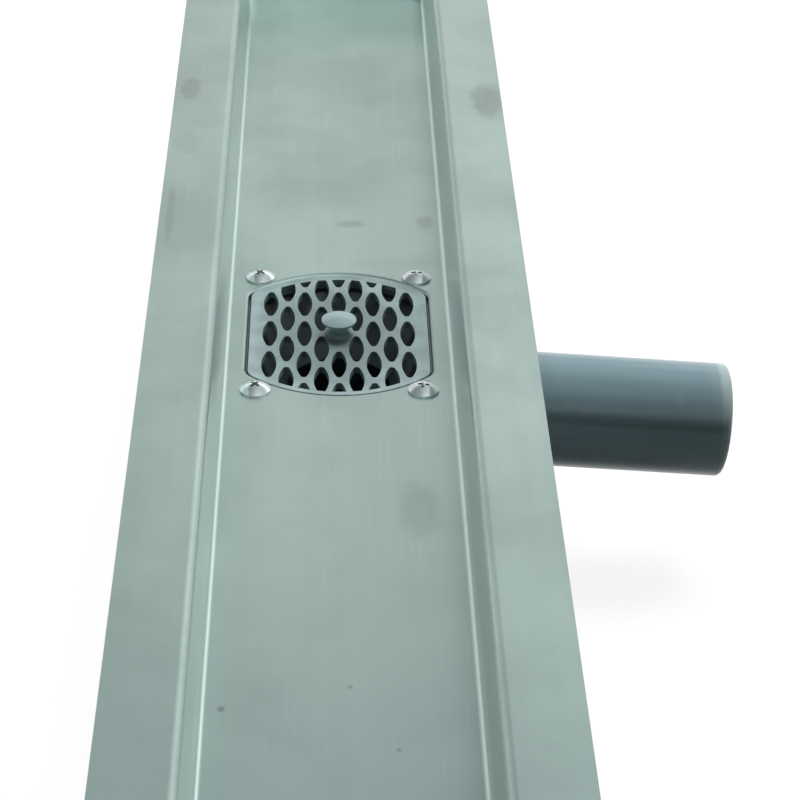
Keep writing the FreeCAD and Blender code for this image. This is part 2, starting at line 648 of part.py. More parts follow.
def foot_pad(x, y):
    """Moulded pad: wide base, waisted neck, hexagon pocket and a ringed underside."""
    base, top = FOOT_BASE, FOOT_BASE + PAD_HEIGHT
    pad = revolve([(0, base), (PAD_R - 1, base), (PAD_R, base + 1), (PAD_R, base + PAD_RIM),
                   (PAD_SHOULDER_R, base + PAD_SHOULDER), (PAD_TOP_R, top), (0, top)])
    pocket = hexagon(NUT_ACROSS_FLATS + 0.2, PAD_HEIGHT, base + STUD_HEAD_SEAT)
    ring = cylinder(PAD_R - PAD_RING_OUT, base - 1, base + PAD_RING_DEPTH)
    ring = ring.cut(cylinder(PAD_R - PAD_RING_IN, base - 2, base + 2))
    pad = pad.cut(pocket).cut(ring)
    pad.translate(V(x, y, 0))
    return pad


export("channel_tray", channel_tray())
export("trap_gasket", trap_gasket())
export("trap_body", trap_body())
export("threaded_inserts", threaded_inserts())
export("flange_screws", flange_screws())
export("strainer", strainer())
export("lift_knob", lift_knob())
export("trap_insert", trap_insert())
export("insert_seal", insert_seal())
export("outlet_pipe", outlet_pipe())
export("outlet_seal", outlet_seal())
export("lock_nuts", nuts_at(FLOOR_UNDER))
export("levelling_nuts", nuts_at(FLOOR_UNDER - STRAP_T - NUT_HEIGHT))
for end, y in (("front", -STRAP_Y), ("rear", STRAP_Y)):
    export("support_strap_" + end, support_strap(y))
    for side, x in (("left", -STUD_X), ("right", STUD_X)):
        export("foot_stud_" + end + "_" + side, foot_stud(x, y))
        export("foot_pad_" + end + "_" + side, foot_pad(x, y))
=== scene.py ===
"""Channel drain: finishes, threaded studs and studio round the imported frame."""
import math

import bpy
from bpy.props import FloatProperty, FloatVectorProperty, IntProperty, PointerProperty
from bpy.types import Operator, Panel, PropertyGroup
from mathutils import Matrix, Vector


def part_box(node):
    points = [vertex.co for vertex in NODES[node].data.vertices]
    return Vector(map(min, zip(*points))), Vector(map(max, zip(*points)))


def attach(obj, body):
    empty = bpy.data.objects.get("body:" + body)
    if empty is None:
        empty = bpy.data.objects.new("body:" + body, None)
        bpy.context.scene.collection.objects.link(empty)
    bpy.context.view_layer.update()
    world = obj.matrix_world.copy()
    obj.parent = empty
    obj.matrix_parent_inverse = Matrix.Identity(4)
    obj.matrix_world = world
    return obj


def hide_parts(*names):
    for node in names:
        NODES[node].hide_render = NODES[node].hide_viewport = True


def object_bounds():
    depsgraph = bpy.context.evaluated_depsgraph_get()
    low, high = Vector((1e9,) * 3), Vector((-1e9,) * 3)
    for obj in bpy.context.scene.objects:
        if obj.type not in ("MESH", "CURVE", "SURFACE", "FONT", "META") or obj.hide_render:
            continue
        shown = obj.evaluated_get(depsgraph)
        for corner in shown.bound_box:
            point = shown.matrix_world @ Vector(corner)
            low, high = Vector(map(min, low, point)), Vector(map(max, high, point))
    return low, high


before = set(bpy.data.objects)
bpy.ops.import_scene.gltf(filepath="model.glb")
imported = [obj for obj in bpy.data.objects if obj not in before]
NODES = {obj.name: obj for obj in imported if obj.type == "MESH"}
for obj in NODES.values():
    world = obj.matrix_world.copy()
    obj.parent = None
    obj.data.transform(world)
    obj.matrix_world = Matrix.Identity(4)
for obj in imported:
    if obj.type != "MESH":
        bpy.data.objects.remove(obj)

bl_info = {
    "name": "Channel drain",
    "version": (1, 0, 0),
    "blender": (4, 5, 0),
    "location": "3D View > Sidebar > Drain",
    "description": "Finishes, levelling studs and studio for a linear channel drain",
    "category": "Object",
}

CAD_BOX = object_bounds()

FEET = ("front_left", "front_right", "rear_left", "rear_right")
STRAPS = ("support_strap_front", "support_strap_rear")
NUTS = ("lock_nuts", "levelling_nuts")
FLOOR_LEVEL = CAD_BOX[0].z
FLANGE_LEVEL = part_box("channel_tray")[1].z
SHEET_THICKNESS = 0.0015
FLOOR_OF_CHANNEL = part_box("trap_gasket")[1].z + SHEET_THICKNESS
PIPE_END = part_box("outlet_pipe")[1].x

# Marks lie on a surface and reach this far above and below it.
MARK_DEPTH = 0.006
# Marks on the tray: centre, radii across and along, strength.
SMUDGES = (
    ((-0.0715, 0.1770, FLANGE_LEVEL), (0.0056, 0.0150), 0.40),
    ((0.0721, 0.1660, FLANGE_LEVEL), (0.0088, 0.0210), 0.46),
    ((-0.0700, 0.1180, FLANGE_LEVEL), (0.0070, 0.0130), 0.18),
    ((-0.0742, 0.0450, FLANGE_LEVEL), (0.0022, 0.0300), 0.30),
    ((0.0055, 0.1010, FLOOR_OF_CHANNEL), (0.0080, 0.0042), 0.34),
    ((0.0407, 0.1034, FLOOR_OF_CHANNEL), (0.0050, 0.0075), 0.36),
    ((0.0306, -0.1380, FLOOR_OF_CHANNEL), (0.0085, 0.0200), 0.26),
    ((0.0240, 0.0620, FLOOR_OF_CHANNEL), (0.0200, 0.0080), 0.10),
)
SPECKS = (
    ((-0.0413, -0.2591, FLOOR_OF_CHANNEL), (0.0014, 0.0018), 0.42),
    ((0.0030, -0.2471, FLOOR_OF_CHANNEL), (0.0012, 0.0012), 0.34),
    ((0.0192, -0.2811, FLOOR_OF_CHANNEL), (0.0011, 0.0011), 0.34),
)
# The darker middle of the strainer: radii across and along, strength.
STRAINER_FIELD = ((0.036, 0.047), 0.60)
# One turn of the studs' thread, in shares of its depth and of its pitch.
THREAD_PROFILE = ((0, 0.0), (1, 0.40), (1, 0.55), (0, 0.95))
# How far the turned corners of a stud's hexagon lie inside its sharp corners, how far its collar
# stands out from the thread, and the heights of the steps at the shank's two ends.
HEXAGON_CORNER_CUT = 0.0007
COLLAR_WIDTH = 0.0012
SHANK_FOOT = 0.0003
SHANK_RELIEF = 0.0004
# Resistance welds in each strap: their places from its middle, the radius and strength of a mark,
# and its level, near the strap's underside.
WELD_SPOTS = ((-0.040, 0.009), (-0.040, -0.009), (0.040, 0.009), (0.040, -0.009))
WELD_RADIUS = 0.0042
WELD_STRENGTH = 0.8
WELD_LEVEL = FLOOR_OF_CHANNEL - 0.0035
# Where the flat floor of the channel ends, across and along, and how far the foot of the wall is from
# there. Then the depths below the flange at which a wall's painted light starts to make it brighter and
# is full, and the same for how far its face looks inward.
WALL_FOOT = (0.0464, 0.3746)
WALL_BEND = 0.0016
WALL_TOP = (0.0006, 0.0028)
WALL_INWARD = (-0.010, -0.030)
# Painted shade on the channel's floor, darker towards the outlet's side: where it grows across, how
# strong it is at those two places, and the heights above the floor at which it is gone and full.
SIDE_SHADE_ACROSS = (-0.030, 0.046)
SIDE_SHADE_STRENGTH = (0.0, 0.85)
SIDE_SHADE_HEIGHT = (0.003, 0.001)

# Room that the shiny surfaces mirror: its colour by the sine of the angle above the horizon.
ROOM_COLOURS = (
    (0.18, (1.00, 1.00, 1.00)),
    (0.36, (0.58, 0.59, 0.58)),
    (0.42, (1.08, 1.10, 1.08)),
    (0.47, (1.33, 1.35, 1.33)),
    (0.54, (1.04, 1.07, 1.06)),
    (0.60, (0.76, 0.81, 0.82)),
    (0.66, (0.50, 0.56, 0.58)),
    (0.78, (0.34, 0.39, 0.41)),
    (1.00, (0.46, 0.50, 0.52)),
)
# The darker part of the room, in front of the drain: its direction, the cosines of the angles from
# there at which the dark starts and is full, how dark it is, and where it fades in at the horizon.
DARK_PATCH = (0.42, -0.90, 0.12)
DARK_PATCH_EDGE = (0.88, 0.93)
DARK_PATCH_DEPTH = 0.92
DARK_PATCH_HORIZON = (-0.02, 0.05)
# Ranges of a direction's X, Y or Z over which the room changes, with its change or its brightness at
# the two ends: to the sides, which takes effect from some way up, to the front, and for diffuse light.
ROOM_SIDES = (-0.32, 0.32, -0.32, 0.44)
ROOM_SIDES_RISE = (0.12, 0.62)
ROOM_FRONT = (0.1, -0.5, 1.0, 1.55)
ROOM_LIGHT = (-0.25, 0.95, 0.03, 0.72)

# Studio floor: what shows through it, and what it adds of its own to the eye and to mirrors.
FLOOR_CLEARNESS = 0.86
FLOOR_SHADE_TO_EYE = 0.22
FLOOR_SHADE_IN_MIRRORS = 0.50
FLOOR_GLOW_IN_MIRRORS = 0.42
# Shares of the floor's half width at which it starts to fade and is gone.
FLOOR_FADE = (0.35, 0.95)

# Lamps: place, size, and the name of the setting that holds the power.
LAMPS = {
    "key_lamp": ((0.40, 1.1, 1.9), (2.0, 1.2), "key_power"),
    "left_lamp": ((-1.6, -0.5, 1.0), (0.9, 0.9), "side_power"),
    "right_lamp": ((1.6, -0.5, 1.0), (0.9, 0.9), "side_power"),
}


# Sizes and colours ---------------------------------------------------------------------


def colour(name, description, value):
    """A colour setting."""
    return FloatVectorProperty(
        name=name, description=description, subtype="COLOR", size=3, min=0, max=1, default=value
    )


def length(name, description, value):
    """A length setting in metres."""
    return FloatProperty(
        name=name, description=description, subtype="DISTANCE", unit="LENGTH", default=value, precision=5
    )


def share(name, description, value):
    """A setting between 0 and 1."""
    return FloatProperty(
        name=name, description=description, subtype="FACTOR", min=0, max=1, default=value
    )


class DrainTraySettings(PropertyGroup):
    """Sizes and colours of the tray's finish."""

    steel: colour("Steel", "Reflected colour of the rolled sheet", (0.447, 0.548, 0.515))
    steel_dull: colour("Dull steel", "Colour under the thickest film", (0.392, 0.483, 0.455))
    # Painted light: the inner walls' colour, brighter than the sheet for the light they catch.
    bend: colour("Bent steel", "Reflected colour of the walls", (0.78, 0.87, 0.84))
    smudge: colour("Smudge", "Colour of dried water marks", (0.30, 0.345, 0.285))
    speck: colour("Speck", "Colour of small dark spots", (0.10, 0.12, 0.12))
    scratch: colour("Scratch", "Colour of fine scratches", (0.60, 0.66, 0.65))
    roughness: share("Roughness", "Blur of the rolled sheet's reflections", 0.34)
    grain_length: length("Grain length", "Length of the rolling lines", 0.090)
    grain_width: length("Grain width", "Width of the rolling lines", 0.0009)


class DrainScrewSettings(PropertyGroup):
    """Finish of the screws and the brass inserts."""

    steel: colour("Steel", "Reflected colour of the screws", (0.80, 0.84, 0.83))
    steel_dull: colour("Dull steel", "Colour under the film on the heads", (0.62, 0.67, 0.67))
    scratch: colour("Scratch", "Colour of fine scratches", (0.80, 0.82, 0.82))
    # Painted shade and soiling in the recess and under the head.
    shade_and_soil: colour("Grime", "Colour of dirt in the recess and under the head", (0.06, 0.065, 0.06))
    brass: colour("Brass", "Colour of the threaded inserts", (0.72, 0.52, 0.22))
    brass_dull: colour("Dull brass", "Colour of tarnished brass", (0.48, 0.33, 0.13))
    roughness: share("Roughness", "Blur of the heads' reflections", 0.13)


class DrainStrainerSettings(PropertyGroup):
    """Finish of the strainer and its knob."""

    plastic: colour("Plastic", "Colour of the strainer", (0.238, 0.320, 0.324))
    knob: colour("Knob", "Colour of the lifting knob", (0.270, 0.375, 0.395))
    # Painted shade and soiling in the corners of the strainer and knob.
    shade_and_residue: colour("Residue", "Colour of dirt in the corners", (0.10, 0.115, 0.105))
    roughness: share("Roughness", "Blur of the strainer's reflections", 0.38)
    knob_roughness: share("Knob roughness", "Blur of the knob's reflections", 0.14)


class DrainTrapSettings(PropertyGroup):
    """Finish of the trap, its dip tube and the seals."""

    body: colour("Trap", "Colour of the trap body", (0.235, 0.300, 0.315))
    # Painted shade: the dip tube kept near black for the dark seen through the strainer's holes.
    insert: colour("Dip tube", "Colour of the dip tube", (0.050, 0.063, 0.066))
    rubber: colour("Rubber", "Colour of the seals", (0.018, 0.018, 0.019))
    bloom: colour("Bloom", "Colour of the bloom on the seals", (0.045, 0.045, 0.045))
    roughness: share("Roughness", "Blur of the moulded surfaces' reflections", 0.36)


class DrainOutletSettings(PropertyGroup):
    """Finish of the outlet pipe."""

    plastic: colour("Pipe", "Colour of the pipe", (0.187, 0.278, 0.316))
    # Scuffs and rubbed edges, and the painted highlight on the pipe's paler end band.
    scuff_and_highlight: colour("Scuffed pipe", "Colour where the pipe is rubbed", (0.30, 0.385, 0.405))
    # Painted highlight on the pipe's rounded end: the colour and widths of its paler band and palest
    # edge.
    end: colour("Pipe end", "Colour of the rounded edge at the pipe's end", (0.42, 0.52, 0.50))
    roughness: share("Roughness", "Blur of the pipe's reflections", 0.20)
    end_band: length("End band", "Width of the paler band at the pipe's end", 0.009)
    end_edge: length("End edge", "Width of the palest edge at the pipe's end", 0.005)


class DrainSupportSettings(PropertyGroup):
    """Sizes and finish of the straps, studs, nuts and pads."""

    strap: colour("Strap", "Colour of the folded straps", (0.46, 0.49, 0.48))
    # Painted shade and soiling in the straps' corners.
    strap_shade_and_soil: colour("Strap grime", "Colour of dirt in the straps' corners", (0.20, 0.20, 0.19))
    weld: colour("Weld", "Colour of the resistance welds", (0.30, 0.25, 0.20))
    zinc: colour("Zinc", "Colour of the plated studs and nuts", (0.60, 0.62, 0.62))
    zinc_blue: colour("Blue zinc", "Colour of the bluer grains of the plating", (0.54, 0.565, 0.60))
    # Lighter edges: rubbed wear and a painted highlight.
    zinc_rub_and_highlight: colour("Worn zinc", "Colour of rubbed edges", (0.75, 0.76, 0.76))
    # Painted shade and soiling in the threads.
    zinc_shade_and_soil: colour("Zinc grime", "Colour of dirt in the threads", (0.16, 0.16, 0.15))
    pad: colour("Pad", "Colour of the foot pads", (0.028, 0.030, 0.031))
    pad_worn: colour("Worn pad", "Colour of the pads' flow marks", (0.045, 0.047, 0.048))
    pad_grime: colour("Pad grime", "Colour of dirt in the pads' corners", (0.07, 0.068, 0.06))
    pad_roughness: share("Pad roughness", "Blur of the pads' reflections", 0.46)
    crest_radius: length("Crest radius", "Outer radius of the thread", 0.0040)
    root_radius: length("Root radius", "Inner radius of the thread", 0.00335)
    pitch: length("Pitch", "Rise of the thread in one turn", 0.00125)
    shank: length("Plain shank", "Plain length above the stud's hexagon", 0.0035)
    hexagon: length("Hexagon height", "Height of the stud's hexagon", 0.0055)
    chamfer: length("Chamfer", "Height of the turned corners on the hexagon", 0.0006)
    tip: length("Tip", "Height and depth of the bevel at the stud's tip", 0.0008)
    steps: IntProperty(
        name="Steps", description="Straight steps in one turn of thread", default=28, min=8
    )


class DrainStageSettings(PropertyGroup):
    """Camera, lamps, floor and world."""

    camera: FloatVectorProperty(
        name="Camera", description="Place of the camera", subtype="TRANSLATION", unit="LENGTH",
        size=3, precision=5, default=(-0.006237, -0.925467, 0.498719),
    )
    pitch: FloatProperty(
        name="Pitch", description="Angle of the view below the horizon", subtype="ANGLE",
        default=math.radians(31.464),
    )
    yaw: FloatProperty(
        name="Yaw", description="Turn of the view to the right of the length", subtype="ANGLE",
        default=math.radians(2.060),
    )
    roll: FloatProperty(
        name="Roll", description="Tilt of the view", subtype="ANGLE", default=math.radians(1.2419)
    )
    focal: FloatProperty(
        name="Focal length", description="Lens length in millimetres on a 36 mm sensor", default=111.083
    )
    key_power: FloatProperty(
        name="Key lamp", description="Power of the lamp behind and above", subtype="POWER", default=60.0
    )
    side_power: FloatProperty(
        name="Side lamps", description="Power of each side lamp", subtype="POWER", default=1.5
    )
    floor_size: length("Floor size", "Half width of the floor", 3.0)
    floor: colour("Floor", "Colour of the floor", (0.07, 0.072, 0.072))


# Node helpers --------------------------------------------------------------------------


def put(tree, kind, sockets=None, **options):
    """Adds a node, sets its options, and gives each named or numbered socket a value or a link."""
    node = tree.nodes.new(kind)
    for name, value in options.items():
        setattr(node, name, value)
    for name, value in (sockets or {}).items():
        if isinstance(value, bpy.types.NodeSocket):
            tree.links.new(value, node.inputs[name])
        else:
            node.inputs[name].default_value = value
    return node


def maths(tree, operation, *values, clamp=False):
    """One step of arithmetic."""
    node = put(tree, "ShaderNodeMath", dict(enumerate(values)), operation=operation, use_clamp=clamp)
    return node.outputs[0]


def weaker(tree, mask, strength):
    """A mask at a part of its strength."""
    return maths(tree, "MULTIPLY", mask, strength)


def dot_product(tree, first, second):
    """Dot product of two vectors."""
    sockets = {0: first, 1: second}
    return put(tree, "ShaderNodeVectorMath", sockets, operation="DOT_PRODUCT").outputs["Value"]


def size_of(tree, vector):
    """Length of a vector."""
    return put(tree, "ShaderNodeVectorMath", {0: vector}, operation="LENGTH").outputs["Value"]


def times(tree, first, second):
    """Two vectors multiplied axis by axis."""
    sockets = {0: first, 1: second}
    return put(tree, "ShaderNodeVectorMath", sockets, operation="MULTIPLY").outputs[0]


def between(tree, value, low, high, new_low=0.0, new_high=1.0, kind="SMOOTHSTEP"):
    """Maps a value from one range to another, clamped."""
    sockets = {"Value": value, "From Min": low, "From Max": high, "To Min": new_low, "To Max": new_high}
    return put(tree, "ShaderNodeMapRange", sockets, interpolation_type=kind).outputs[0]


def mixed(tree, factor, first, second, blend="MIX"):
    """Mixes two colours."""
    sockets = {0: factor, 6: first, 7: second}
    for key in (6, 7):
        if not isinstance(sockets[key], bpy.types.NodeSocket):
            sockets[key] = (*sockets[key], 1.0)
    return put(tree, "ShaderNodeMix", sockets, data_type="RGBA", blend_type=blend).outputs[2]


def layered(tree, base, *layers):
    """Colours laid over a base: each layer is a mask, the strength it is used at, and a colour."""
    for mask, strength, tint in layers:
        if strength < 1:
            mask = weaker(tree, mask, strength)
        base = mixed(tree, mask, base, tint)
    return base


def roughened(tree, setting, drop, *parts):
    """Roughness that starts below its setting by a drop and rises with each mask by an amount."""
    rough = setting - drop
    for mask, rise in parts:
        rough = maths(tree, "ADD", weaker(tree, mask, rise), rough)
    return rough


def noise(tree, vector, scale, detail=2.0, roughness=0.5):
    """Noise value at a place."""
    sockets = {"Vector": vector, "Scale": scale, "Detail": detail, "Roughness": roughness}
    return put(tree, "ShaderNodeTexNoise", sockets).outputs["Fac"]


def stretched(tree, vector, scale, turn=0.0):
    """Vector scaled by a different amount on each axis, after a turn about Z."""
    sockets = {"Vector": vector, "Rotation": (0, 0, turn), "Scale": scale}
    return put(tree, "ShaderNodeMapping", sockets).outputs[0]


def group(name, inputs, outputs):
    """Starts a node group: returns its tree, its inputs by name and its output node."""
    tree = bpy.data.node_groups.new(name, "ShaderNodeTree")
    for label, kind, value in inputs:
        socket = tree.interface.new_socket(label, in_out="INPUT", socket_type=kind)
        if value is not None:
            socket.default_value = value
    for label, kind in outputs:
        tree.interface.new_socket(label, in_out="OUTPUT", socket_type=kind)
    entry = tree.nodes.new("NodeGroupInput")
    return tree, entry.outputs, tree.nodes.new("NodeGroupOutput")


def along_y(tree, given):
    """Place scaled by the group's Across and Along, so that its pattern runs along Y."""
    sockets = {0: given["Across"], 1: given["Along"], 2: given["Across"]}
    return times(tree, given["Vector"], put(tree, "ShaderNodeCombineXYZ", sockets).outputs[0])


def use(tree, name, sockets):
    """Places a node group built earlier and returns its outputs."""
    node = put(tree, "ShaderNodeGroup", node_tree=bpy.data.node_groups[name])
    for label, value in sockets.items():
        if isinstance(value, bpy.types.NodeSocket):
            tree.links.new(value, node.inputs[label])
        else:
            node.inputs[label].default_value = value
    return node.outputs


FLOAT = "NodeSocketFloat"
VECTOR = "NodeSocketVector"


def build_cloudy_film():
    """Soft cloudy patches, such as a film left by water or handling."""
    tree, given, result = group(
        "cloudy_film",
        [("Vector", VECTOR, None), ("Scale", FLOAT, 12.0), ("Low", FLOAT, 0.35), ("High", FLOAT, 0.65)],
        [("Mask", FLOAT)],
    )
    patches = noise(tree, given["Vector"], given["Scale"], detail=4.0, roughness=0.55)
    tree.links.new(between(tree, patches, given["Low"], given["High"]), result.inputs["Mask"])


def build_rolled_grain():
    """Fine lines along Y, from rolling or drawing."""
    tree, given, result = group(
        "rolled_grain",
        [("Vector", VECTOR, None), ("Across", FLOAT, 900.0), ("Along", FLOAT, 10.0)],
        [("Height", FLOAT), ("Mask", FLOAT)],
    )
    lines = along_y(tree, given)
    fine = noise(tree, lines, 1.0, detail=3.0, roughness=0.6)
    coarse = noise(tree, lines, 0.21)
    tree.links.new(maths(tree, "ADD", fine, weaker(tree, coarse, 0.6)), result.inputs["Height"])
    tree.links.new(between(tree, coarse, 0.35, 0.65), result.inputs["Mask"])


def build_soft_spot():
    """A ragged soft-edged spot at a given place."""
    tree, given, result = group(
        "soft_spot",
        [
            ("Vector", VECTOR, None),
            ("Centre", VECTOR, (0, 0, 0)),
            ("Shrink", VECTOR, (100, 100, 100)),
            ("Ragged", FLOAT, 0.5),
            ("Strength", FLOAT, 0.5),
        ],
        [("Mask", FLOAT)],
    )
    offset = put(
        tree, "ShaderNodeVectorMath", {0: given["Vector"], 1: given["Centre"]}, operation="SUBTRACT"
    ).outputs[0]
    distance = size_of(tree, times(tree, offset, given["Shrink"]))
    wobble = noise(tree, given["Vector"], 190.0, detail=3.0, roughness=0.6)
    shift = weaker(tree, maths(tree, "SUBTRACT", wobble, 0.5), given["Ragged"])
    edge = between(tree, maths(tree, "ADD", distance, shift), 1.15, 0.55)
    tree.links.new(weaker(tree, edge, given["Strength"]), result.inputs["Mask"])


def build_fine_scratches():
    """Sparse short scratches in one direction."""
    tree, given, result = group(
        "fine_scratches",
        [
            ("Vector", VECTOR, None),
            ("Across", FLOAT, 700.0),
            ("Along", FLOAT, 22.0),
            ("Rarity", FLOAT, 0.70),
        ],
        [("Mask", FLOAT)],
    )
    value = noise(tree, along_y(tree, given), 1.0, detail=0.0)
    limit = maths(tree, "ADD", given["Rarity"], 0.05)
    tree.links.new(between(tree, value, given["Rarity"], limit), result.inputs["Mask"])


def build_corner_shade_and_soil():
    """Darkening in inside corners, found by ambient occlusion: painted shade together with soiling."""
    tree, given, result = group(
        "corner_grime",
        [
            ("Vector", VECTOR, None),
            ("Reach", FLOAT, 0.004),
            ("Scale", FLOAT, 160.0),
            ("Amount", FLOAT, 0.6),
        ],
        [("Mask", FLOAT)],
    )
    openness = put(tree, "ShaderNodeAmbientOcclusion", {"Distance": given["Reach"]}, samples=6)
    closed = between(tree, openness.outputs["AO"], 0.95, 0.25)
    patches = noise(tree, given["Vector"], given["Scale"], detail=3.0)
    uneven = weaker(tree, closed, between(tree, patches, 0.25, 0.75, 0.45, 1.0))
    tree.links.new(weaker(tree, uneven, given["Amount"]), result.inputs["Mask"])


def build_moulded_skin():
    """Slightly uneven moulded plastic: a fine skin and slow flow marks."""
    tree, given, result = group(
        "moulded_skin",
        [("Vector", VECTOR, None), ("Fine", FLOAT, 2600.0), ("Flow", FLOAT, 55.0)],
        [("Height", FLOAT), ("Mask", FLOAT)],
    )
    fine = noise(tree, given["Vector"], given["Fine"])
    slow = noise(tree, given["Vector"], given["Flow"], detail=3.0)
    tree.links.new(maths(tree, "ADD", fine, maths(tree, "MULTIPLY", slow, 2.0)), result.inputs["Height"])
    tree.links.new(between(tree, slow, 0.3, 0.7), result.inputs["Mask"])


def build_edge_rub_and_highlight():
    """Lighter outer edges: rubbed wear and a painted highlight."""
    tree, given, result = group(
        "edge_wear",
        [
            ("Vector", VECTOR, None),
            ("Radius", FLOAT, 0.0006),
            ("Scale", FLOAT, 240.0),
            ("Amount", FLOAT, 0.6),
        ],
        [("Mask", FLOAT)],
    )
    rounded = put(tree, "ShaderNodeBevel", {"Radius": given["Radius"]}, samples=4).outputs[0]
    face = put(tree, "ShaderNodeNewGeometry").outputs["Normal"]
    edge = between(tree, dot_product(tree, rounded, face), 0.985, 0.86)
    patches = noise(tree, given["Vector"], given["Scale"], detail=3.0)
    uneven = weaker(tree, edge, between(tree, patches, 0.3, 0.6, 0.35, 1.0))
    tree.links.new(weaker(tree, uneven, given["Amount"]), result.inputs["Mask"])


def build_shared_effects():
    """Builds every shared node group once."""
    build_cloudy_film()
    build_rolled_grain()
    build_soft_spot()
    build_fine_scratches()
    build_corner_shade_and_soil()
    build_moulded_skin()
    build_edge_rub_and_highlight()


# Materials -----------------------------------------------------------------------------


def start_material(name):
    """A fresh material: returns it with its tree, its shader and the place on the object in metres."""
    material = bpy.data.materials.new(name)
    material.use_nodes = True
    tree = material.node_tree
    shader = tree.nodes["Principled BSDF"]
    place = tree.nodes.new("ShaderNodeTexCoord").outputs["Object"]
    return material, tree, shader, place


def dress(material, *names):
    """Gives each named CAD node the material."""
    for name in names:
        slots = NODES[name].data.materials
        slots.clear()
        slots.append(material)


def feed(tree, shader, base, roughness, height=None, bump=0.1, distance=0.0001):
    """Connects colour, roughness and, where there is one, a bump height."""
    tree.links.new(base, shader.inputs["Base Color"])
    tree.links.new(roughness, shader.inputs["Roughness"])
    if height is not None:
        sockets = {"Strength": bump, "Distance": distance, "Height": height}
        normal = put(tree, "ShaderNodeBump", sockets).outputs[0]
        tree.links.new(normal, shader.inputs["Normal"])


def marks(tree, place, spots, ragged):
    """The strongest of several soft spots at each point."""
    total = None
    for centre, (across, along), strength in spots:
        shrink = (1 / across, 1 / along, 1 / MARK_DEPTH)
        sockets = {
            "Vector": place, "Centre": centre, "Shrink": shrink, "Ragged": ragged, "Strength": strength,
        }
        mask = use(tree, "soft_spot", sockets)["Mask"]
        total = mask if total is None else maths(tree, "MAXIMUM", total, mask)
    return total


def shaded(colour_value, factor, lift=0.0):
    """A colour made darker or lighter by a factor, and then lifted by the same amount all over."""
    return tuple(min(1.0, factor * part + lift) for part in colour_value)


def floor_side_shade(tree, place):
    """Mask of painted shade on the outlet's side of the channel's floor, under its right wall."""
    axes = put(tree, "ShaderNodeSeparateXYZ", {0: place}).outputs
    outlet_side = between(tree, axes["X"], *SIDE_SHADE_ACROSS, *SIDE_SHADE_STRENGTH)
    gone, full = SIDE_SHADE_HEIGHT
    low = between(tree, axes["Z"], FLOOR_OF_CHANNEL + gone, FLOOR_OF_CHANNEL + full)
    return weaker(tree, outlet_side, low)


def painted_wall_light(tree, place):
    """Mask of the inner walls, painted brighter than the flat sheet as a stand-in for the light they
    catch.
    """
    axes = put(tree, "ShaderNodeSeparateXYZ", {0: place}).outputs
    across = maths(tree, "ABSOLUTE", axes["X"])
    along = maths(tree, "ABSOLUTE", axes["Y"])
    sides = between(tree, across, WALL_FOOT[0], WALL_FOOT[0] + WALL_BEND)
    ends = between(tree, along, WALL_FOOT[1], WALL_FOOT[1] + WALL_BEND)
    under_flange = between(tree, axes["Z"], FLANGE_LEVEL - WALL_TOP[0], FLANGE_LEVEL - WALL_TOP[1])
    normal = put(tree, "ShaderNodeNewGeometry").outputs["Normal"]
    inside = between(tree, dot_product(tree, normal, place), *WALL_INWARD)
    walls = weaker(tree, maths(tree, "MAXIMUM", sides, ends), under_flange)
    return weaker(tree, walls, inside)


def tray_material(settings):
    """Satin rolled stainless sheet with a cloudy film, dried water marks and fine rolling lines."""
    material, tree, shader, place = start_material("tray_rolled_steel")
    film = use(tree, "cloudy_film", {"Vector": place, "Scale": 13.0, "Low": 0.36, "High": 0.66})["Mask"]
    fine_film = use(
        tree, "cloudy_film", {"Vector": place, "Scale": 60.0, "Low": 0.3, "High": 0.75}
    )["Mask"]
    grain = use(
        tree, "rolled_grain",
        {"Vector": place, "Across": 1 / settings.grain_width, "Along": 1 / settings.grain_length},
    )
    scratches = use(tree, "fine_scratches", {"Vector": place, "Rarity": 0.71})["Mask"]
    shade_and_soil = use(tree, "corner_grime", {"Vector": place, "Reach": 0.003, "Amount": 0.22})["Mask"]
    smudges = marks(tree, place, SMUDGES, ragged=0.9)
    specks = marks(tree, place, SPECKS, ragged=0.6)
    dullness = maths(tree, "ADD", weaker(tree, film, 0.46), weaker(tree, fine_film, 0.30))
    dullness = maths(tree, "ADD", dullness, weaker(tree, grain["Mask"], 0.06), clamp=True)
    base = layered(
        tree, settings.steel,
        (dullness, 1, settings.steel_dull),
        # Painted shade: the floor darker towards the outlet's side, under the right wall.
        (floor_side_shade(tree, place), 1, shaded(settings.steel_dull, 0.94)),
        # Painted light: the inner walls brighter than the flat sheet.
        (painted_wall_light(tree, place), 0.85, settings.bend),
        (scratches, 0.08, settings.scratch),
        (smudges, 1, settings.smudge),
        # Painted shade and soiling in the tray's inside corners.
        (shade_and_soil, 1, settings.smudge),
        (specks, 1, settings.speck),
    )
    rough = roughened(
        tree, settings.roughness, 0.03, (film, 0.07), (grain["Mask"], 0.015), (smudges, 0.12)
    )
    shader.inputs["Metallic"].default_value = 1.0
    feed(tree, shader, base, rough, grain["Height"], bump=0.05, distance=0.00005)
    return material


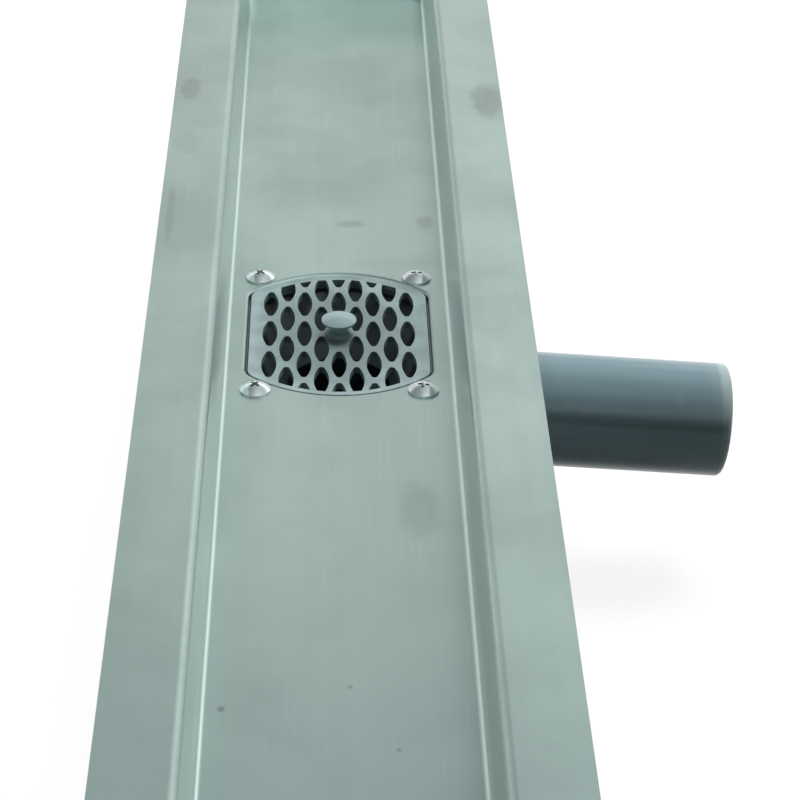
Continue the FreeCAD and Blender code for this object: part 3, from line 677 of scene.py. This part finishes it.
def screw_material(settings):
    """Polished screw steel with painted shade and soiling in the recess and under the head."""
    material, tree, shader, place = start_material("screw_polished_steel")
    shade_and_soil = use(
        tree, "corner_grime", {"Vector": place, "Reach": 0.0022, "Scale": 700.0, "Amount": 0.85}
    )["Mask"]
    film = use(tree, "cloudy_film", {"Vector": place, "Scale": 260.0})["Mask"]
    wear = use(tree, "fine_scratches", {"Vector": place, "Across": 3000.0, "Along": 300.0})["Mask"]
    base = layered(
        tree, settings.steel,
        (film, 0.35, settings.steel_dull),
        (wear, 0.3, settings.scratch),
        # Painted shade and soiling in the recess and under the head.
        (shade_and_soil, 1, settings.shade_and_soil),
    )
    rough = roughened(tree, settings.roughness, 0.03, (film, 0.07), (shade_and_soil, 0.4))
    shader.inputs["Metallic"].default_value = 1.0
    feed(tree, shader, base, rough, noise(tree, place, 2200.0), bump=0.04, distance=0.00004)
    return material


def brass_material(settings):
    """Brass with cross knurling and a tarnished film."""
    material, tree, shader, place = start_material("insert_brass")
    film = use(tree, "cloudy_film", {"Vector": place, "Scale": 300.0})["Mask"]
    turned = stretched(tree, place, (900, 900, 900), 0.8)
    ridges = put(tree, "ShaderNodeTexWave", {"Vector": turned, "Scale": 1.0}).outputs["Fac"]
    knurl = weaker(tree, ridges, noise(tree, place, 1500.0))
    base = mixed(tree, film, settings.brass, settings.brass_dull)
    rough = between(tree, film, 0, 1, 0.24, 0.42)
    shader.inputs["Metallic"].default_value = 1.0
    feed(tree, shader, base, rough, knurl, bump=0.3, distance=0.0001)
    return material


def plastic_material(
    name, base_colour, roughness, second, scale=1.0, shade_and_soil_colour=None, shade_and_soil=0.4, darker_spots=()
):
    """Moulded plastic: slow flow marks, a fine skin, painted shade and soiling in corners, and edges
    lighter from rubbing and a painted highlight.
    """
    material, tree, shader, place = start_material(name)
    skin = use(tree, "moulded_skin", {"Vector": place, "Fine": 2600.0 * scale, "Flow": 55.0 * scale})
    film = use(tree, "cloudy_film", {"Vector": place, "Scale": 34.0 * scale})["Mask"]
    shade_and_soiling = use(tree, "corner_grime", {"Vector": place, "Reach": 0.004, "Amount": shade_and_soil})["Mask"]
    wear = use(tree, "edge_wear", {"Vector": place, "Radius": 0.0005, "Amount": 0.35})["Mask"]
    layers = [(skin["Mask"], 0.55, second)]
    if darker_spots:
        layers.append((marks(tree, place, darker_spots, ragged=0.5), 1, shaded(base_colour, 0.42)))
    # Lighter edges: rubbed wear and a painted highlight.
    layers.append((wear, 1, shaded(base_colour, 1.25, 0.02)))
    # Painted shade and soiling in the corners.
    layers.append((shade_and_soiling, 1, shade_and_soil_colour or shaded(base_colour, 0.35)))
    base = layered(tree, base_colour, *layers)
    rough = roughened(tree, roughness, 0.03, (film, 0.06), (shade_and_soiling, 0.2))
    feed(tree, shader, base, rough, skin["Height"], bump=0.05, distance=0.00006)
    return material


def strap_material(settings):
    """Folded steel strap with resistance-weld marks over it and rolling lines along it."""
    material, tree, shader, place = start_material("strap_steel")
    turned = stretched(tree, place, (1, 1, 1), math.pi / 2)
    grain = use(tree, "rolled_grain", {"Vector": turned, "Across": 1000.0, "Along": 9.0})
    film = use(tree, "cloudy_film", {"Vector": place, "Scale": 28.0})["Mask"]
    shade_and_soil = use(tree, "corner_grime", {"Vector": place, "Reach": 0.004, "Amount": 0.5})["Mask"]
    middles = [sum(corner.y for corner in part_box(strap)) / 2 for strap in STRAPS]
    spots = [
        ((x, y + strap_y, WELD_LEVEL), (WELD_RADIUS, WELD_RADIUS), WELD_STRENGTH)
        for strap_y in middles
        for x, y in WELD_SPOTS
    ]
    welds = marks(tree, place, spots, ragged=0.25)
    base = layered(
        tree, settings.strap,
        (film, 1, shaded(settings.strap, 0.84)),
        (welds, 1, settings.weld),
        # Painted shade and soiling in the strap's corners.
        (shade_and_soil, 1, settings.strap_shade_and_soil),
    )
    rough = between(tree, film, 0, 1, 0.34, 0.44)
    height = maths(tree, "SUBTRACT", weaker(tree, grain["Height"], 0.15), welds)
    shader.inputs["Metallic"].default_value = 1.0
    feed(tree, shader, base, rough, height, bump=0.25, distance=0.0002)
    return material


def zinc_material(settings):
    """Bright zinc plating with faint spangle."""
    material, tree, shader, place = start_material("plated_zinc")
    spangle = put(tree, "ShaderNodeTexVoronoi", {"Vector": place, "Scale": 420.0}).outputs["Color"]
    value = put(tree, "ShaderNodeSeparateColor", {0: spangle}).outputs[0]
    shade_and_soil = use(
        tree, "corner_grime", {"Vector": place, "Reach": 0.0012, "Scale": 500.0, "Amount": 0.55}
    )["Mask"]
    wear = use(tree, "edge_wear", {"Vector": place, "Radius": 0.0003, "Amount": 0.5})["Mask"]
    base = layered(
        tree, settings.zinc,
        (value, 0.35, settings.zinc_blue),
        # Lighter edges: rubbed wear and a painted highlight.
        (wear, 1, settings.zinc_rub_and_highlight),
        # Painted shade and soiling in the threads.
        (shade_and_soil, 1, settings.zinc_shade_and_soil),
    )
    rough = between(tree, value, 0, 1, 0.26, 0.38)
    shader.inputs["Metallic"].default_value = 1.0
    feed(tree, shader, base, rough, noise(tree, place, 1800.0), bump=0.05, distance=0.00005)
    return material


def from_pipe_end(tree, along, width, softness):
    """Mask of a band at the pipe's end, with a soft inner edge."""
    start = PIPE_END - width
    return between(tree, along, start - softness, start + softness)


def pipe_material(settings):
    """Extruded grey pipe: fine lines along it, a paler end with a painted highlight on its rounded edge,
    and a few scuffs.
    """
    material, tree, shader, place = start_material("pipe_extruded_plastic")
    turned = stretched(tree, place, (1, 1, 1), math.pi / 2)
    grain = use(tree, "rolled_grain", {"Vector": turned, "Across": 700.0, "Along": 14.0})
    scuffs = use(
        tree, "fine_scratches", {"Vector": place, "Across": 160.0, "Along": 30.0, "Rarity": 0.74}
    )["Mask"]
    film = use(tree, "cloudy_film", {"Vector": place, "Scale": 30.0})["Mask"]
    along = put(tree, "ShaderNodeSeparateXYZ", {0: place}).outputs["X"]
    band = from_pipe_end(tree, along, settings.end_band, 0.002)
    edge = from_pipe_end(tree, along, settings.end_edge, 0.0015)
    wear = use(tree, "edge_wear", {"Vector": place, "Radius": 0.0008, "Amount": 0.4})["Mask"]
    base = layered(
        tree, settings.plastic,
        (film, 0.3, shaded(settings.plastic, 0.88)),
        (grain["Mask"], 0.22, settings.scuff_and_highlight),
        # Painted highlight on the rounded end of the pipe.
        (band, 0.25, settings.scuff_and_highlight),
        (edge, 0.7, settings.end),
        (scuffs, 0.2, settings.scuff_and_highlight),
        (wear, 1, settings.scuff_and_highlight),
    )
    rough = roughened(tree, settings.roughness, 0.02, (film, 0.05), (grain["Mask"], 0.04))
    shader.inputs["Specular IOR Level"].default_value = 0.38
    shader.inputs["Specular Tint"].default_value = (0.70, 0.92, 1.0, 1)
    feed(tree, shader, base, rough, grain["Height"], bump=0.04, distance=0.00005)
    return material


def rubber_material(settings):
    """Matt black rubber with a bloom."""
    material, tree, shader, place = start_material("seal_rubber")
    bloom = use(tree, "cloudy_film", {"Vector": place, "Scale": 120.0})["Mask"]
    base = layered(tree, settings.rubber, (bloom, 0.5, settings.bloom))
    rough = between(tree, bloom, 0, 1, 0.6, 0.78)
    feed(tree, shader, base, rough, noise(tree, place, 3000.0), bump=0.1, distance=0.00005)
    return material


# Levelling studs -----------------------------------------------------------------------


def round_axis(radius, angle, z):
    """Point at an angle round the stud's axis."""
    return radius * math.cos(angle), radius * math.sin(angle), z


def thread_rings(settings, low, high):
    """Rows of points of a thread that runs out at both ends: each row is one step round."""
    turns = (high - low) / settings.pitch - 1
    count = int(turns * settings.steps)
    run_out = settings.steps
    rows = []
    for step in range(count + 1):
        angle = math.tau * step / settings.steps
        fade = min(1.0, step / run_out, (count - step) / run_out)
        depth = (settings.crest_radius - settings.root_radius) * fade
        base = low + settings.pitch * step / settings.steps
        rows.append(
            [
                round_axis(settings.root_radius + depth * out, angle, base + rise * settings.pitch)
                for out, rise in THREAD_PROFILE
            ]
        )
    return rows


def stud_mesh(name, settings, low, high, hexagon_flats):
    """Closed mesh of a stud: hexagon, plain shank, thread and chamfered tip, with its axis on Z."""
    steps = settings.steps
    thread_low = low + settings.hexagon + settings.shank
    thread_high = high - settings.tip
    rows = thread_rings(settings, thread_low, thread_high)
    points = [point for row in rows for point in row]
    width = len(rows[0])
    last = len(rows) - 1
    faces = []

    def at(row, column):
        return row * width + column

    def circle(radius, z):
        first = len(points)
        for step in range(steps):
            points.append(round_axis(radius, math.tau * step / steps, z))
        return [first + step for step in range(steps)]

    def band(lower, upper):
        for step in range(steps):
            after = (step + 1) % steps
            faces.append((lower[step], lower[after], upper[after], upper[step]))

    # The flanks and crest of each step, then the root up to the next turn.
    for row in range(last):
        for column in range(width - 1):
            faces.append(
                (at(row, column), at(row + 1, column), at(row + 1, column + 1), at(row, column + 1))
            )
        if row + steps < last:
            faces.append(
                (at(row, width - 1), at(row + 1, width - 1), at(row + steps + 1, 0), at(row + steps, 0))
            )
        elif row + steps == last:
            faces.append((at(row, width - 1), at(row + 1, width - 1), at(row + steps, 0)))
    # The first turn closes onto the shank.
    shank_top = circle(settings.root_radius, thread_low - SHANK_RELIEF)
    for step in range(steps - 1):
        faces.append((shank_top[step], shank_top[step + 1], at(step + 1, 0), at(step, 0)))
    start = [at(0, column) for column in range(width)]
    faces.append((shank_top[-1], shank_top[0], *start, at(steps, 0), at(steps - 1, 0)))
    # The last turn closes onto the chamfered tip.
    tip_low = circle(settings.root_radius, thread_high)
    tip_high = circle(settings.root_radius - settings.tip, high)
    turn = last % steps
    for back in range(1, steps):
        row = last - steps + back
        around = (turn + back) % steps
        beyond = (around + 1) % steps
        faces.append((at(row, width - 1), at(row + 1, width - 1), tip_low[beyond], tip_low[around]))
    faces.append(
        (
            at(last - steps, width - 1), at(last - steps + 1, width - 1),
            tip_low[(turn + 1) % steps], tip_low[turn],
            at(last, width - 1), at(last, 2), at(last, 1), at(last, 0),
        )
    )
    band(tip_low, tip_high)
    faces.append(tuple(tip_high))
    hexagon_top = low + settings.hexagon
    shank_low = circle(settings.root_radius, hexagon_top + SHANK_FOOT)
    collar = circle(settings.crest_radius + COLLAR_WIDTH, hexagon_top)
    band(shank_low, shank_top)
    band(collar, shank_low)
    hexagon_on(points, faces, collar, low, hexagon_top, hexagon_flats, settings.chamfer)
    mesh = bpy.data.meshes.new(name)
    mesh.from_pydata(points, [], faces)
    mesh.validate()
    return mesh


def hexagon_on(points, faces, ring, low, top, flats, chamfer):
    """Adds a hexagon with turned-off upper corners, joined at its top to a ring of points."""
    sixth = math.pi / 3
    corner = flats / math.sqrt(3)
    turned = min(corner - HEXAGON_CORNER_CUT, flats / 2 + chamfer)
    count = len(ring)
    angles = [math.tau * step / count for step in range(count)]
    outline = []
    for angle in angles:
        sector = (angle + sixth / 2) % sixth - sixth / 2
        face = (flats / 2) / math.cos(sixth / 2 - abs(sector))
        outline.append(min(face, corner))

    def loop(radii, z):
        first = len(points)
        for radius, angle in zip(radii, angles):
            points.append(round_axis(radius, angle, z))
        return [first + step for step in range(count)]

    shoulder = loop([min(radius, turned) for radius in outline], top)
    upper_edge = loop(outline, top - chamfer)
    lower_edge = loop(outline, low)
    for upper, lower in ((ring, shoulder), (shoulder, upper_edge), (upper_edge, lower_edge)):
        for step in range(count):
            after = (step + 1) % count
            faces.append((lower[step], lower[after], upper[after], upper[step]))
    faces.append(tuple(reversed(lower_edge)))


def build_studs(settings):
    """One threaded stud in place of each plain CAD stud, riding on its foot."""
    material = zinc_material(settings)
    for foot in FEET:
        node = "foot_stud_" + foot
        low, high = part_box(node)
        middle = (low + high) / 2
        flats = high.y - low.y
        mesh = stud_mesh("threaded_stud_" + foot, settings, low.z, high.z, flats)
        mesh.transform(Matrix.Translation((middle.x, middle.y, 0)))
        mesh.materials.append(material)
        stud = bpy.data.objects.new("threaded_stud_" + foot, mesh)
        bpy.context.scene.collection.objects.link(stud)
        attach(stud, "foot_" + foot)
        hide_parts(node)
    return material


# Stage ---------------------------------------------------------------------------------


def sees_background(tree):
    """1 for rays that should see the white background."""
    path = put(tree, "ShaderNodeLightPath").outputs
    direct = maths(tree, "MAXIMUM", path["Is Camera Ray"], path["Is Transmission Ray"])
    return maths(tree, "MAXIMUM", direct, path["Is Glossy Ray"])


def build_world():
    """White studio that dims softly overhead and in front; diffuse light comes mostly from behind."""
    world = bpy.data.worlds.new("studio")
    bpy.context.scene.world = world
    world.use_nodes = True
    tree = world.node_tree
    direction = put(tree, "ShaderNodeTexCoord").outputs["Generated"]
    axes = put(tree, "ShaderNodeSeparateXYZ", {0: direction}).outputs
    ramp = put(tree, "ShaderNodeValToRGB", {0: axes["Z"]})
    stops = ramp.color_ramp.elements
    stops[0].position = 0.0
    stops[0].color = (1, 1, 1, 1)
    stops[1].position = 1.0
    stops[1].color = (*ROOM_COLOURS[-1][1], 1)
    for position, tint in ROOM_COLOURS[:-1]:
        stops.new(position).color = (*tint, 1)
    raised = between(tree, axes["Z"], *ROOM_SIDES_RISE)
    side = maths(tree, "MULTIPLY", between(tree, axes["X"], *ROOM_SIDES), raised)
    side = maths(tree, "ADD", side, 1.0)
    facing = dot_product(tree, direction, DARK_PATCH)
    patch = between(tree, facing, *DARK_PATCH_EDGE, 0.0, DARK_PATCH_DEPTH)
    patch = maths(tree, "MULTIPLY", patch, between(tree, axes["Z"], *DARK_PATCH_HORIZON))
    front = maths(tree, "SUBTRACT", 1.0, patch)
    front = maths(tree, "MULTIPLY", front, between(tree, axes["Y"], *ROOM_FRONT))
    room = mixed(tree, 1.0, ramp.outputs[0], maths(tree, "MULTIPLY", side, front), "MULTIPLY")
    light = between(tree, axes["Y"], *ROOM_LIGHT)
    shown = mixed(tree, sees_background(tree), light, room)
    sky = tree.nodes["Background"]
    tree.links.new(shown, sky.inputs["Color"])
    sky.inputs["Strength"].default_value = 1.0


def build_floor(settings):
    """Plain floor, a clear film to the eye over the white studio, which keeps the object's shadow."""
    half = settings.floor_size
    mesh = bpy.data.meshes.new("studio_floor")
    corners = [(x * half, y * half, FLOOR_LEVEL) for x, y in ((-1, -1), (1, -1), (1, 1), (-1, 1))]
    mesh.from_pydata(corners, [], [(0, 1, 2, 3)])
    floor = bpy.data.objects.new("studio_floor", mesh)
    bpy.context.scene.collection.objects.link(floor)
    material = bpy.data.materials.new("studio_floor")
    material.use_nodes = True
    tree = material.node_tree
    tree.nodes.remove(tree.nodes["Principled BSDF"])
    end = tree.nodes["Material Output"]
    plain = put(tree, "ShaderNodeBsdfDiffuse", {"Color": (*settings.floor, 1)})
    mirrored = put(tree, "ShaderNodeLightPath").outputs["Is Glossy Ray"]
    shade = mixed(tree, mirrored, (FLOOR_SHADE_TO_EYE,) * 3, (FLOOR_SHADE_IN_MIRRORS,) * 3)
    faint = put(tree, "ShaderNodeBsdfDiffuse", {"Color": shade})
    clear = put(tree, "ShaderNodeBsdfTransparent", {"Color": (*(FLOOR_CLEARNESS,) * 3, 1)})
    glow = put(tree, "ShaderNodeEmission", {"Strength": FLOOR_GLOW_IN_MIRRORS})
    film = put(tree, "ShaderNodeMixShader", {0: mirrored, 1: clear.outputs[0], 2: glow.outputs[0]})
    white = put(tree, "ShaderNodeAddShader", {0: faint.outputs[0], 1: film.outputs[0]})
    open_air = put(tree, "ShaderNodeBsdfTransparent")
    place = put(tree, "ShaderNodeNewGeometry").outputs["Position"]
    edge = between(tree, size_of(tree, place), FLOOR_FADE[0] * half, FLOOR_FADE[1] * half)
    faded = put(tree, "ShaderNodeMixShader", {0: edge, 1: white.outputs[0], 2: open_air.outputs[0]})
    shown = {0: sees_background(tree), 1: plain.outputs[0], 2: faded.outputs[0]}
    mix = put(tree, "ShaderNodeMixShader", shown)
    tree.links.new(mix.outputs[0], end.inputs["Surface"])
    mesh.materials.append(material)


def build_lamp(name, place, size, power):
    """Soft rectangular lamp aimed at the drain's middle, which mirrors don't show."""
    lamp = bpy.data.lights.new(name, "AREA")
    lamp.shape = "RECTANGLE"
    lamp.size, lamp.size_y = size
    lamp.energy = power
    holder = bpy.data.objects.new(name, lamp)
    holder.location = place
    holder.rotation_euler = (-Vector(place)).to_track_quat("-Z", "Y").to_euler()
    holder.visible_glossy = False
    bpy.context.scene.collection.objects.link(holder)


def build_camera(settings):
    """Camera above the near end, looking along the drain."""
    ahead = math.cos(settings.pitch)
    forward = Vector(
        (math.sin(settings.yaw) * ahead, math.cos(settings.yaw) * ahead, -math.sin(settings.pitch))
    )
    level = Vector((math.cos(settings.yaw), -math.sin(settings.yaw), 0))
    upright = level.cross(forward)
    right = math.cos(settings.roll) * level + math.sin(settings.roll) * upright
    up = -math.sin(settings.roll) * level + math.cos(settings.roll) * upright
    data = bpy.data.cameras.new("camera")
    data.lens = settings.focal
    data.sensor_width = 36.0
    data.clip_end = 50.0
    camera = bpy.data.objects.new("camera", data)
    turn = Matrix((right, up, -forward)).transposed().to_4x4()
    camera.matrix_world = Matrix.Translation(settings.camera) @ turn
    bpy.context.scene.collection.objects.link(camera)
    bpy.context.scene.camera = camera


# Operators -----------------------------------------------------------------------------


def check_nodes(*names):
    """Raises an error if the frame lacks a node."""
    missing = [name for name in names if name not in NODES]
    if missing:
        raise RuntimeError(f"the frame has no node {missing}")


class DRAIN_OT_tray(Operator):
    """Finish the folded tray in rolled stainless steel"""

    bl_idname = "drain.tray"
    bl_label = "Finish tray"

    def execute(self, context):
        check_nodes("channel_tray")
        dress(tray_material(context.scene.drain_tray), "channel_tray")
        return {"FINISHED"}


class DRAIN_OT_screws(Operator):
    """Finish the screws and the brass inserts that take them"""

    bl_idname = "drain.screws"
    bl_label = "Finish screws"

    def execute(self, context):
        check_nodes("flange_screws", "threaded_inserts")
        settings = context.scene.drain_screws
        dress(screw_material(settings), "flange_screws")
        dress(brass_material(settings), "threaded_inserts")
        return {"FINISHED"}


class DRAIN_OT_strainer(Operator):
    """Finish the strainer and its lifting knob"""

    bl_idname = "drain.strainer"
    bl_label = "Finish strainer"

    def execute(self, context):
        check_nodes("strainer", "lift_knob")
        settings = context.scene.drain_strainer
        low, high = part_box("strainer")
        middle = ((low.x + high.x) / 2, (low.y + high.y) / 2, high.z)
        field = (middle, *STRAINER_FIELD)
        # The corners take painted shade and soiling, and the middle of the grid is darker.
        grid = plastic_material(
            "strainer_plastic", shaded(settings.plastic, 0.92), settings.roughness,
            shaded(settings.plastic, 1.42), scale=1.6, shade_and_soil_colour=settings.shade_and_residue, shade_and_soil=0.60,
            darker_spots=[field],
        )
        knob = plastic_material(
            "knob_plastic", settings.knob, settings.knob_roughness, shaded(settings.knob, 0.9),
            scale=2.5, shade_and_soil_colour=settings.shade_and_residue, shade_and_soil=0.5,
        )
        dress(grid, "strainer")
        dress(knob, "lift_knob")
        return {"FINISHED"}


class DRAIN_OT_trap(Operator):
    """Finish the trap, its dip tube and the flange seals"""

    bl_idname = "drain.trap"
    bl_label = "Finish trap"

    def execute(self, context):
        check_nodes("trap_body", "trap_insert", "trap_gasket", "insert_seal", "outlet_seal")
        settings = context.scene.drain_trap
        body = plastic_material(
            "trap_plastic", settings.body, settings.roughness, shaded(settings.body, 1.1)
        )
        # The dip tube's near-black colour is painted shade for the strainer's holes.
        dip = plastic_material(
            "dip_tube_plastic", settings.insert, settings.roughness, shaded(settings.insert, 1.15),
            scale=1.4,
        )
        dress(body, "trap_body")
        dress(dip, "trap_insert")
        dress(rubber_material(settings), "trap_gasket", "insert_seal", "outlet_seal")
        return {"FINISHED"}


class DRAIN_OT_outlet(Operator):
    """Finish the outlet pipe"""

    bl_idname = "drain.outlet"
    bl_label = "Finish outlet"

    def execute(self, context):
        check_nodes("outlet_pipe")
        dress(pipe_material(context.scene.drain_outlet), "outlet_pipe")
        return {"FINISHED"}


class DRAIN_OT_supports(Operator):
    """Build the threaded studs and finish the straps, nuts and pads"""

    bl_idname = "drain.supports"
    bl_label = "Build supports"

    def execute(self, context):
        pads = ["foot_pad_" + foot for foot in FEET]
        check_nodes(*STRAPS, *NUTS, *pads)
        settings = context.scene.drain_supports
        zinc = build_studs(settings)
        dress(zinc, *NUTS)
        dress(strap_material(settings), *STRAPS)
        pad = plastic_material(
            "pad_plastic", settings.pad, settings.pad_roughness, settings.pad_worn,
            scale=1.5, shade_and_soil_colour=settings.pad_grime,
        )
        dress(pad, *pads)
        return {"FINISHED"}


class DRAIN_OT_stage(Operator):
    """Build the floor, the world, the lamps and the camera"""

    bl_idname = "drain.stage"
    bl_label = "Build stage"

    def execute(self, context):
        settings = context.scene.drain_stage
        build_world()
        build_floor(settings)
        for name, (place, size, power) in LAMPS.items():
            build_lamp(name, place, size, getattr(settings, power))
        build_camera(settings)
        return {"FINISHED"}


class DRAIN_PT_panel(Panel):
    """Lists the drain's steps and their settings"""

    bl_idname = "DRAIN_PT_panel"
    bl_label = "Channel drain"
    bl_space_type = "VIEW_3D"
    bl_region_type = "UI"
    bl_category = "Drain"

    def draw(self, context):
        for operator, group_name in STEPS:
            box = self.layout.box()
            box.operator(operator.bl_idname)
            settings = getattr(context.scene, group_name)
            for name in settings.__annotations__:
                box.prop(settings, name)


SETTINGS = {
    "drain_tray": DrainTraySettings,
    "drain_screws": DrainScrewSettings,
    "drain_strainer": DrainStrainerSettings,
    "drain_trap": DrainTrapSettings,
    "drain_outlet": DrainOutletSettings,
    "drain_supports": DrainSupportSettings,
    "drain_stage": DrainStageSettings,
}
STEPS = (
    (DRAIN_OT_stage, "drain_stage"),
    (DRAIN_OT_tray, "drain_tray"),
    (DRAIN_OT_screws, "drain_screws"),
    (DRAIN_OT_strainer, "drain_strainer"),
    (DRAIN_OT_trap, "drain_trap"),
    (DRAIN_OT_outlet, "drain_outlet"),
    (DRAIN_OT_supports, "drain_supports"),
)


def register():
    """Registers the settings, the operators and the panel."""
    for name, settings in SETTINGS.items():
        bpy.utils.register_class(settings)
        setattr(bpy.types.Scene, name, PointerProperty(type=settings))
    for operator, group_name in STEPS:
        bpy.utils.register_class(operator)
    bpy.utils.register_class(DRAIN_PT_panel)


def unregister():
    """Removes the panel, the operators and the settings."""
    bpy.utils.unregister_class(DRAIN_PT_panel)
    for operator, group_name in reversed(STEPS):
        bpy.utils.unregister_class(operator)
    for name, settings in reversed(SETTINGS.items()):
        delattr(bpy.types.Scene, name)
        bpy.utils.unregister_class(settings)


def main():
    register()
    bpy.context.scene.view_settings.view_transform = "Standard"
    build_shared_effects()
    bpy.ops.drain.stage()
    bpy.ops.drain.tray()
    bpy.ops.drain.screws()
    bpy.ops.drain.strainer()
    bpy.ops.drain.trap()
    bpy.ops.drain.outlet()
    bpy.ops.drain.supports()


if __name__ == "__main__":
    main()
